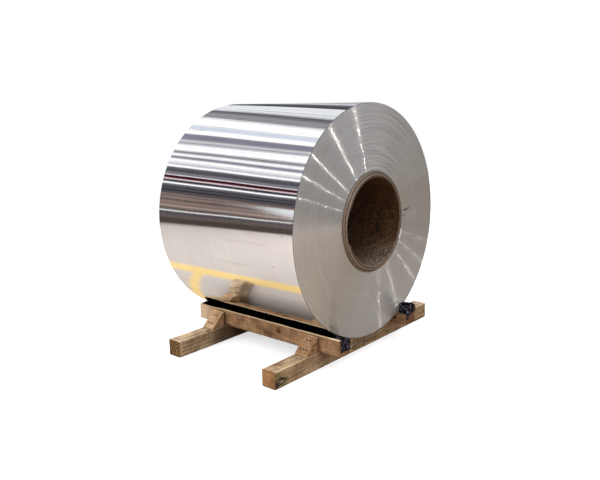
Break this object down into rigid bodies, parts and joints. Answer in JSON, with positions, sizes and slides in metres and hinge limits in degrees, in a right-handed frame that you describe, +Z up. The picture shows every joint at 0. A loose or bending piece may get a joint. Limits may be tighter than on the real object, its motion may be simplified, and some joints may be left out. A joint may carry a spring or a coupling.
{
  "type": "aluminum coil on a timber skid",
  "caption": "Bright aluminium sheet coil wound on a cardboard core, lying with its axis level across two bevelled timber rails, chocks and bearers, with black film between coil and rails.",
  "frame": {"origin": "on the floor under the middle of the skid: z = 0 is the underside of the bearers, y = 0 is under the coil's axis, x = 0 is the middle of the rails", "axes": "+X along the coil's axis towards the end with the telescoped turns, +Z up, +Y to the right rail"},
  "size_m": [1.1176, 1.482, 1.4307],
  "materials": {
    "aluminium": "mill finish rolled bright, with satin sheared edges on the ends",
    "cardboard": "spiral wound paperboard, matt",
    "pine": "rough sawn, unplaned, weathered",
    "nail_steel": "dark, tarnished",
    "black_film": "black polyethylene film, folded and crinkled"
  },
  "bodies": {
    "root": {"coil": "aluminium", "core_tube": "cardboard", "front_bearer": "pine", "back_bearer": "pine", "left_rail": "pine", "right_rail": "pine", "front_left_chock": "pine", "back_left_chock": "pine", "front_right_chock": "pine", "back_right_chock": "pine", "front_left_nails": "nail_steel", "back_left_nails": "nail_steel", "front_right_nails": "nail_steel", "back_right_nails": "nail_steel", "left_film": "black_film", "right_film": "black_film"}
  },
  "joints": []
}
